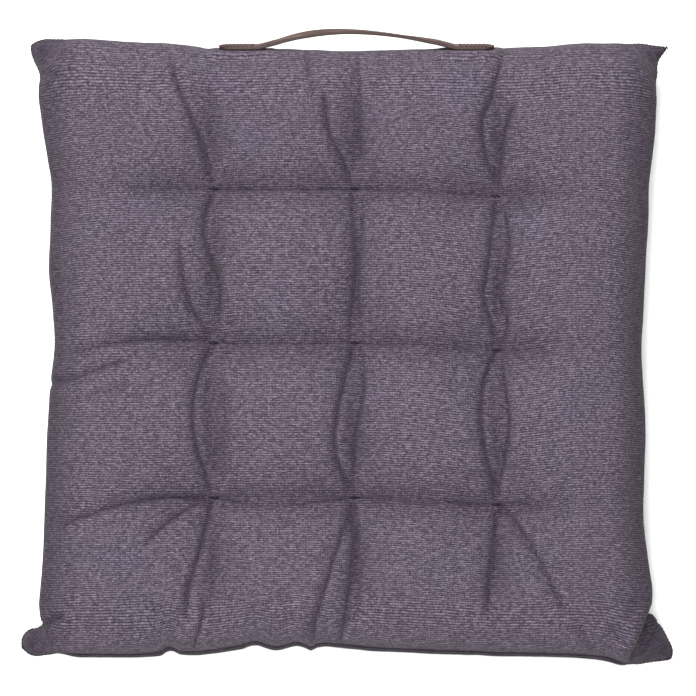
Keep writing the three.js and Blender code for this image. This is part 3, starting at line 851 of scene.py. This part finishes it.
def thread_material():
    """Dark purple sewing thread, twisted."""
    material, tree, shader = new_material("dark_thread", 0.7)
    place = object_place(tree)
    twist = add_node(tree, "ShaderNodeTexWave", {"Vector": place, "Scale": 420.0, "Distortion": 1.5,
                                                 "Detail": 1.0}, bands_direction="DIAGONAL").outputs["Fac"]
    colour = colour_steps(tree, twist, (0.0, (0.004, 0.003, 0.006)), (1.0, (0.016, 0.011, 0.019)))
    tree.links.new(colour, shader.inputs["Base Color"])
    shader.inputs["Specular IOR Level"].default_value = 0.15
    add_bump(tree, shader, twist, 0.00012)
    return material


def leather_material():
    """Brown leather with a fine grain, paler where it is worn and dark on its cut edges."""
    material, tree, shader = new_material("strap_leather", 0.5)
    place = object_place(tree)
    grain = add_node(tree, "ShaderNodeTexVoronoi", {"Vector": place, "Scale": 1500.0},
                     feature="DISTANCE_TO_EDGE").outputs["Distance"]
    pull = add_node(tree, "ShaderNodeMapping", {"Vector": place, "Scale": (60.0, 420.0, 420.0)}).outputs[0]
    strain = noise_at(tree, pull, 1.0, 4.0)
    patches = noise_at(tree, place, 90.0, 3.0)
    face = colour_steps(tree, strain, (0.25, (0.066, 0.036, 0.031)), (0.5, (0.116, 0.067, 0.058)),
                        (0.78, (0.225, 0.147, 0.132)))
    worn = colour_steps(tree, patches, (0.35, (0.8, 0.78, 0.78)), (0.7, (1.15, 1.12, 1.1)))
    face = mixed(tree, 1.0, face, worn, "MULTIPLY")
    cut = add_node(tree, "ShaderNodeAttribute", attribute_name="cut_edge").outputs["Fac"]
    colour = mixed(tree, cut, face, (0.030, 0.014, 0.013, 1))
    tree.links.new(colour, shader.inputs["Base Color"])
    shader.inputs["Specular IOR Level"].default_value = 0.3
    gloss = maths(tree, "MULTIPLY_ADD", patches, -0.25, 0.62)
    tree.links.new(gloss, shader.inputs["Roughness"])
    height = maths(tree, "ADD", maths(tree, "MINIMUM", grain, 0.25), maths(tree, "MULTIPLY", strain, 0.5))
    add_bump(tree, shader, height, 0.0003, 0.6)
    return material


def fibre_material():
    """White polyester fibre."""
    material, tree, shader = new_material("fibre_filling", 0.95)
    place = object_place(tree)
    stretched = add_node(tree, "ShaderNodeMapping", {"Vector": place, "Scale": (900.0, 160.0, 500.0),
                                                     "Rotation": (0.3, 0.2, 0.6)}).outputs[0]
    fibres = noise_at(tree, stretched, 1.0, 5.0, Distortion=1.5)
    colour = colour_steps(tree, fibres, (0.3, (0.62, 0.62, 0.60)), (0.7, (0.86, 0.86, 0.84)))
    tree.links.new(colour, shader.inputs["Base Color"])
    shader.inputs["Sheen Weight"].default_value = 0.3
    add_bump(tree, shader, fibres, 0.0012)
    return material


def foam_material():
    """Cream open-cell foam."""
    material, tree, shader = new_material("foam_cells", 0.9)
    place = object_place(tree)
    cells = add_node(tree, "ShaderNodeTexVoronoi", {"Vector": place, "Scale": 900.0}).outputs["Distance"]
    colour = colour_steps(tree, cells, (0.0, (0.45, 0.40, 0.27)), (0.6, (0.78, 0.73, 0.56)))
    tree.links.new(colour, shader.inputs["Base Color"])
    add_bump(tree, shader, cells, 0.0006)
    return material


def floor_material():
    """A pale floor. It throws less light back at the pad than it shows."""
    material, tree, shader = new_material("pale_floor", 0.9)
    place = object_place(tree)
    grain = noise_at(tree, place, 40.0, 3.0)
    pale = colour_steps(tree, grain, (0.0, (0.90, 0.90, 0.90)), (1.0, (0.93, 0.93, 0.93)))
    seen = add_node(tree, "ShaderNodeLightPath").outputs["Is Camera Ray"]
    tree.links.new(mixed(tree, seen, (0.22, 0.22, 0.22, 1), pale), shader.inputs["Base Color"])
    shader.inputs["Specular IOR Level"].default_value = 0.0
    return material


# ---- Pieces ----
def make_cover(cloth_top, cloth_bottom):
    """Both panels: swollen, settled, and then folded on a finer grid. Returns their outer grids too."""
    cut_x, start_x, tuft_columns = spread_lines(COLUMN_X, HALF_WIDTH, WIDTH_SLACK, WIDTH_END_SLACK)
    cut_y, start_y, tuft_rows = spread_lines(ROW_Y, HALF_DEPTH, DEPTH_SLACK, DEPTH_END_SLACK)
    top, bottom, flat = start_panels(cut_x, start_x, cut_y, start_y)
    top, bottom = swell(top, bottom, flat, tuft_columns, tuft_rows)
    fine_x = dense_lines(cut_x[0], cut_x[-1], 2.5, cut_x[tuft_columns], 1.05, 14)
    fine_y = dense_lines(cut_y[0], cut_y[-1], 2.3, cut_y[tuft_rows], 0.9, 4)
    lines = np.arange(PANEL_LINES + 1)
    read_x = read_weights(np.interp(fine_x, cut_x, lines), PANEL_LINES + 1)
    read_y = read_weights(np.interp(fine_y, cut_y, lines), PANEL_LINES + 1)
    far_x, far_y = np.meshgrid(np.minimum(fine_x - fine_x[0], fine_x[-1] - fine_x),
                               np.minimum(fine_y - fine_y[0], fine_y[-1] - fine_y))
    edge = np.minimum(far_x, far_y)
    uv = np.stack(np.meshgrid(fine_x, fine_y), axis=-1).reshape(-1, 2) * MM
    made = {}
    for name, sheet, upper, material in (
        ("cover_top_cloth", top, True, cloth_top),
        ("cover_bottom_cloth", bottom, False, cloth_bottom),
    ):
        sheet = np.einsum("ai,bj,ijk->abk", read_y, read_x, settle(sheet))
        sheet = round_panel(sheet, fine_x, fine_y, upper)
        sheet, painted_shade = finish_panel(sheet, edge, far_x, upper)
        sheet = seam_puckers(sheet, far_x, far_y, upper)
        sheet = under_strap(sheet)
        sheet[:, :, 2] = np.maximum(sheet[:, :, 2], LOWEST)
        sheet = clear_foam(sheet, upper)
        made[upper] = (name, sheet, painted_shade, material)
    # The two panels share their seam line.
    seam = (made[True][1] + made[False][1]) / 2
    on_seam = edge < 1e-6
    panels = {}
    for upper, (name, sheet, painted_shade, material) in made.items():
        sheet[on_seam] = seam[on_seam]
        side = 1.0 if upper else -1.0
        normals = sheet_normals(sheet) * side
        flat_out = sheet * (1, 1, 0)
        flat_out /= np.maximum(np.linalg.norm(flat_out, axis=2, keepdims=True), 1e-9)
        turn = smooth_step(edge / 7)[:, :, None]
        inward = normals * turn + flat_out * (1 - turn)
        inward /= np.linalg.norm(inward, axis=2, keepdims=True)
        wall = HEM_THICKNESS + (CLOTH_THICKNESS - HEM_THICKNESS) * smooth_step(edge / 8)
        inner = sheet - inward * wall[:, :, None]
        # Each panel carries its mask of painted shade as a point attribute.
        piece = two_walls(name, sheet, inner, upper, material, uv, {"painted_shade": painted_shade})
        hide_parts("cover_top" if upper else "cover_bottom")
        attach(piece, "pad")
        panels[upper] = sheet
    return panels[True], panels[False], edge


def clear_foam(sheet, upper):
    """Keeps a panel's deepest folds off the foam slab."""
    over = (abs(sheet[:, :, 0]) < foam_high.x + 3) & (abs(sheet[:, :, 1]) < foam_high.y + 13)
    if upper:
        held = np.maximum(sheet[:, :, 2], foam_high.z + CLOTH_THICKNESS + FOAM_ROOM)
    else:
        held = np.minimum(sheet[:, :, 2], foam_low.z - CLOTH_THICKNESS - FOAM_ROOM)
    sheet[:, :, 2] = np.where(over, held, sheet[:, :, 2])
    return sheet


def make_filling(top, bottom, edge, material):
    """The fibre above and below the foam slab, inside the cover."""
    keep_x = np.nonzero(edge[edge.shape[0] // 2] > 14)[0][::2]
    keep_y = np.nonzero(edge[:, edge.shape[1] // 2] > 14)[0][::2]
    for upper, sheet, other in ((True, top, bottom), (False, bottom, top)):
        side = 1.0 if upper else -1.0
        outer = (sheet - sheet_normals(sheet) * side * 2.2 - (0, 0, side * 2))[np.ix_(keep_y, keep_x)]
        middle = ((sheet + other) / 2)[np.ix_(keep_y, keep_x)]
        over_x = smooth_step((foam_high.x + 12 - abs(middle[:, :, 0])) / 6)
        over_y = smooth_step(((foam_high.y - foam_low.y) / 2 + 12 - abs(middle[:, :, 1])) / 6)
        face = foam_high.z if upper else foam_low.z
        inner = middle + (0, 0, side * FILLING_GAP)
        share = over_x * over_y
        inner[:, :, 2] = inner[:, :, 2] * (1 - share) + (face + side * FILLING_GAP) * share
        outer[:, :, 2] = side * np.maximum(side * outer[:, :, 2], side * inner[:, :, 2] + FILLING_GAP)
        name = "fibre_filling_top" if upper else "fibre_filling_bottom"
        piece = two_walls(name, outer, inner, upper, material)
        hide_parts("wadding_top" if upper else "wadding_bottom")
        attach(piece, "pad")


def make_foam(material):
    """The foam slab, with its cut edges a little rounded."""
    node = frame["nodes"]["foam_core"]
    piece = put_in_scene("foam_slab", node.data.copy())
    work = bmesh.new()
    work.from_mesh(piece.data)
    bmesh.ops.remove_doubles(work, verts=work.verts, dist=1e-6)
    bmesh.ops.dissolve_limit(work, angle_limit=0.02, verts=work.verts, edges=work.edges)
    work.to_mesh(piece.data)
    work.free()
    piece.data.materials.clear()
    piece.data.materials.append(material)
    bevel = piece.modifiers.new("soft_edges", "BEVEL")
    bevel.width = 0.0012
    bevel.segments = 2
    bevel.limit_method = "ANGLE"
    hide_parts("foam_core")
    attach(piece, "pad")


def surface_height(sheet, x, y):
    """The height of a panel's grid at a place."""
    near = np.hypot(sheet[:, :, 0] - x, sheet[:, :, 1] - y)
    row, column = np.unravel_index(np.argmin(near), near.shape)
    return sheet[row, column, 2]


def tuft_shape(x, y, top, bottom):
    """A bar of wound strands on each face, with the thread between them."""
    shapes = []
    for face, side in ((top, 1), (bottom, -1)):
        for strand, (shift, lift) in enumerate(((-0.3, 0.0), (0.3, 0.05), (0.0, 0.25))):
            along = np.linspace(-BAR_HALF, BAR_HALF, 17)
            rise = np.sqrt(np.clip(1 - (along / (BAR_HALF + 0.05)) ** 2, 0, 1))
            sway = shift + 0.14 * np.sin(along * 1.7 + strand * 1.3)
            path = np.stack([x + along, y + sway * (0.35 + 0.65 * rise),
                             face + side * ((lift + 0.95) * rise - 0.7 * (1 - rise))], axis=1)
            shapes.append(tube(path, STRAND_RADIUS, 8))
    drop = np.linspace(bottom, top, 25)
    for phase in (0, math.pi):
        turn = drop * CORD_TURN + phase
        path = np.stack([x + STRAND_RADIUS * np.cos(turn), y + STRAND_RADIUS * np.sin(turn), drop], axis=1)
        shapes.append(tube(path, CORD_RADIUS, 6))
    return gather_shapes(shapes)


def make_tufts(top, bottom, thread):
    for (row, column), (x, y) in tuft_places.items():
        name = f"tuft_{row}_{column}"
        points, faces = tuft_shape(x, y, surface_height(top, x, y), surface_height(bottom, x, y))
        piece = make_piece(name + "_thread", points, faces, thread)
        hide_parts(name)
        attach(piece, "pad")


def stitch_tree():
    """Short stitches along a line: Line's points are the route."""
    tree = bpy.data.node_groups.new("stitches", "GeometryNodeTree")
    for label, kind, value in (
        ("Line", "NodeSocketGeometry", None), ("Pitch", "NodeSocketFloat", 0.003),
        ("Thread Radius", "NodeSocketFloat", 0.0004), ("Cover", "NodeSocketFloat", 0.8),
        ("Thread", "NodeSocketMaterial", None),
    ):
        socket = tree.interface.new_socket(label, in_out="INPUT", socket_type=kind)
        if value is not None:
            socket.default_value = value
    tree.interface.new_socket("Stitches", in_out="OUTPUT", socket_type="NodeSocketGeometry")
    given, result = tree.nodes.new("NodeGroupInput"), tree.nodes.new("NodeGroupOutput")
    curve = add_node(tree, "GeometryNodeMeshToCurve", {"Mesh": given.outputs["Line"]}).outputs[0]
    points = add_node(tree, "GeometryNodeResampleCurve", {"Curve": curve, "Length": given.outputs["Pitch"]},
                      mode="LENGTH")
    tangent = tree.nodes.new("GeometryNodeInputTangent").outputs[0]
    turn = add_node(tree, "FunctionNodeAlignRotationToVector", {"Vector": tangent}, axis="X").outputs[0]
    length = maths(tree, "MULTIPLY", given.outputs["Pitch"], given.outputs["Cover"])
    half = maths(tree, "MULTIPLY", length, 0.5)
    ball = {"Segments": 8, "Rings": 6, "Radius": 1.0}
    capsule = add_node(tree, "GeometryNodeMeshUVSphere", ball).outputs[0]
    size = add_node(tree, "ShaderNodeCombineXYZ", {0: half, 1: given.outputs["Thread Radius"],
                                                   2: given.outputs["Thread Radius"]}).outputs[0]
    capsule = add_node(tree, "GeometryNodeTransform", {"Geometry": capsule, "Scale": size}).outputs[0]
    placed = add_node(tree, "GeometryNodeInstanceOnPoints", {"Points": points.outputs[0], "Instance": capsule,
                                                             "Rotation": turn}).outputs[0]
    real = add_node(tree, "GeometryNodeRealizeInstances", {0: placed}).outputs[0]
    smooth = add_node(tree, "GeometryNodeSetShadeSmooth", {"Geometry": real}).outputs[0]
    painted = add_node(tree, "GeometryNodeSetMaterial",
                       {"Geometry": smooth, "Material": given.outputs["Thread"]})
    tree.links.new(painted.outputs[0], result.inputs[0])
    return tree


def make_stitches(name, tree, path, closed, pitch, radius, cover, thread):
    """Stitches along a path in the pad's millimetres, as a plain mesh."""
    path = np.asarray(path, float)
    edges = [(k, k + 1) for k in range(len(path) - 1)] + ([(len(path) - 1, 0)] if closed else [])
    mesh = bpy.data.meshes.new(name)
    mesh.from_pydata(to_row(path).tolist(), edges, [])
    route = put_in_scene(name + "_route", mesh)
    sewing = route.modifiers.new("stitches", "NODES")
    sewing.node_group = tree
    named = {item.name: item.identifier for item in tree.interface.items_tree if item.in_out == "INPUT"}
    for label, value in (("Pitch", pitch * MM), ("Thread Radius", radius * MM), ("Cover", cover),
                         ("Thread", thread)):
        sewing[named[label]] = value
    bpy.context.view_layer.update()
    evaluated = route.evaluated_get(bpy.context.evaluated_depsgraph_get())
    stitches = bpy.data.meshes.new_from_object(evaluated)
    stitches.name = name
    bpy.data.objects.remove(route)
    return put_in_scene(name, stitches)


def make_seam_thread(sheet, tree, thread):
    """The lockstitch that joins the panels, down in the groove between them."""
    loop = border(sheet)
    flat_out = loop * (1, 1, 0)
    flat_out /= np.linalg.norm(flat_out, axis=1, keepdims=True)
    piece = make_stitches("edge_seam_stitches", tree, loop - flat_out * 0.1, True, 2.6, 0.45, 1.1, thread)
    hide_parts("edge_seam_thread")
    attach(piece, "pad")


def strap_point(x, out, up):
    """A place in the strap's own frame, in the pad's millimetres."""
    base = strap_origin()
    return base + np.stack([x, np.zeros_like(x), np.zeros_like(x)], axis=-1) \
        + out[..., None] * STRAP_OUT + up[..., None] * STRAP_UP


def make_strap(leather):
    """One piece of leather: two round sewn ends, and a bowed, slightly twisted middle."""
    half = STRAP_SPAN / 2
    ends = STRAP_WIDTH / 2
    round_end = half - ends + np.sin(np.linspace(0, math.pi / 2 - 0.08, 10))[1:] * ends
    right = np.concatenate([np.linspace(0, half - ends, 95)[1:], round_end])
    x = np.concatenate([-right[::-1], [0.0], right])
    bow = STRAP_BOW - STRAP_SAG
    place = strap_place(x, bow)
    small = 0.01
    slope = (strap_place(x + small, bow) - strap_place(x - small, bow)) / (2 * small)
    lean = slope / np.hypot(1, slope)
    level = 1 / np.hypot(1, slope)
    past = np.clip((abs(x) - (half - ends)) / ends, 0, 1)
    width = np.sqrt(1 - past**2)
    twist = STRAP_TWIST * np.sin((x + 10) / half * math.pi * 0.9) * smooth_step((STRAP_PIVOT - abs(x)) / 25)
    thick = STRAP_THICKNESS / 2
    corner = STRAP_CORNER
    section, cut = [], []
    flat_count = 9
    for side in (1, -1):
        across = np.linspace(-(ends - corner), ends - corner, flat_count) * side
        crown = STRAP_CROWN * (1 - (across / ends) ** 2)
        for k, w in enumerate(across):
            section.append((w, side * (thick + crown[k] - STRAP_CROWN)))
            cut.append(0.0 if 0 < k < flat_count - 1 else 0.35)
        for angle in (30, 60, 90, 120, 150):
            turn = math.radians(angle)
            section.append((side * (ends - corner + corner * math.sin(turn)), side * thick * math.cos(turn)))
            cut.append(1.0)
    section = np.array(section)
    across = section[:, 0][None, :] * width[:, None]
    through = section[:, 1][None, :] * np.where(past > 0.97, 0.9, 1)[:, None]
    turned_across = across * np.cos(twist)[:, None] - through * np.sin(twist)[:, None]
    turned_through = across * np.sin(twist)[:, None] + through * np.cos(twist)[:, None]
    points = strap_point(
        x[:, None] - lean[:, None] * turned_through,
        place[:, None] + level[:, None] * turned_through,
        turned_across,
    )
    rings, sides = points.shape[:2]
    index = np.arange(rings * sides).reshape(rings, sides)
    nxt = np.roll(index, -1, axis=1)
    faces = np.stack([index[:-1], nxt[:-1], nxt[1:], index[1:]], axis=-1).reshape(-1, 4).tolist()
    faces.append(index[0].tolist()[::-1])
    faces.append(index[-1].tolist())
    cut = np.maximum(np.array(cut)[None, :], smooth_step((past[:, None] - 0.8) / 0.2))
    piece = make_piece("leather_strap", points.reshape(-1, 3), faces, leather, attributes={"cut_edge": cut})
    work = bmesh.new()
    work.from_mesh(piece.data)
    bmesh.ops.recalc_face_normals(work, faces=work.faces)
    work.to_mesh(piece.data)
    work.free()
    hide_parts("handle_strap", "handle_end_left", "handle_end_right")
    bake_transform(piece)
    return piece


def make_strap_stitching(side, name, tree, thread):
    """A box of stitches that sews one end of the strap down."""
    far = STRAP_SPAN / 2 - STITCH_INSET
    near = far - STITCHED_LENGTH
    edge = STRAP_WIDTH / 2 - STITCH_INSET
    corners = [(near, -edge), (far - 3, -edge), (far - 0.4, -edge * 0.45), (far - 0.4, edge * 0.45),
               (far - 3, edge), (near, edge), (near, -edge)]
    path = straight_runs(corners)
    x = side * path[:, 0]
    out = strap_place(x) + STRAP_THICKNESS / 2 + 0.12
    route = strap_point(x, out, path[:, 1])
    piece = make_stitches(name + "_stitches", tree, route, False, 2.4, 0.26, 0.78, thread)
    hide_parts(name)
    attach(piece, "pad")


def straight_runs(corners):
    """Close points along the straight lines between corners."""
    corners = np.array(corners, float)
    runs = [np.linspace(a, b, 12, endpoint=False) for a, b in zip(corners[:-1], corners[1:])]
    return np.concatenate([*runs, corners[-1:]])


# ---- The studio ----
def aim(thing, target):
    thing.rotation_euler = (Vector(target) - thing.location).to_track_quat("-Z", "Y").to_euler()


def make_camera():
    camera = bpy.data.cameras.new("camera")
    camera.type = "PERSP"
    distance, view_width = 1.9, 0.435
    camera.lens = camera.sensor_width * distance / view_width
    thing = put_in_scene("camera", camera)
    lean = math.radians(1.5)
    target = Vector((0.0006, -0.0048, 0.024))
    thing.location = target + Vector((0, -math.sin(lean), math.cos(lean))) * distance
    aim(thing, target)
    bpy.context.scene.camera = thing


def make_light(name, place, size, power):
    light = bpy.data.lights.new(name, "AREA")
    light.shape = "RECTANGLE"
    light.size, light.size_y = size
    light.energy = power
    thing = put_in_scene(name, light)
    thing.location = place
    aim(thing, (0, 0, 0))


def make_studio():
    floor = bpy.data.meshes.new("floor")
    corners = [(6 * x, 6 * y, -0.0005) for x, y in ((-1, -1), (1, -1), (1, 1), (-1, 1))]
    floor.from_pydata(corners, [], [(0, 1, 2, 3)])
    floor.materials.append(floor_material())
    floor = put_in_scene("floor", floor)
    make_light("key", (-0.45, 1.5, 1.5), (0.9, 0.7), 52)
    make_light("overhead", (-0.1, -0.1, 2.3), (0.5, 2.2), 78)
    make_light("fill", (-0.3, -1.8, 1.4), (1.0, 0.6), 20)
    world = bpy.data.worlds.new("studio")
    world.use_nodes = True
    background = world.node_tree.nodes["Background"]
    background.inputs["Color"].default_value = (1, 1, 1, 1)
    background.inputs["Strength"].default_value = 0.07
    bpy.context.scene.world = world
    bpy.context.scene.view_settings.view_transform = "Standard"


def build():
    make_camera()
    weave = slub_weave_group()
    cloth_top = cover_cloth_material(weave, "cover_cloth", 1.0, 1.0)
    # The underside's copy of the cloth is painted darker overall, with deeper painted shade.
    cloth_bottom = cover_cloth_material(weave, "cover_cloth_underside", 0.96, 0.7)
    thread = thread_material()
    leather = leather_material()
    top, bottom, edge = make_cover(cloth_top, cloth_bottom)
    make_filling(top, bottom, edge, fibre_material())
    make_foam(foam_material())
    make_tufts(top, bottom, thread)
    stitches = stitch_tree()
    make_seam_thread(top, stitches, thread)
    make_strap(leather)
    make_strap_stitching(-1, "handle_stitching_left", stitches, thread)
    make_strap_stitching(1, "handle_stitching_right", stitches, thread)
    make_studio()


build()
bpy.context.view_layer.update()
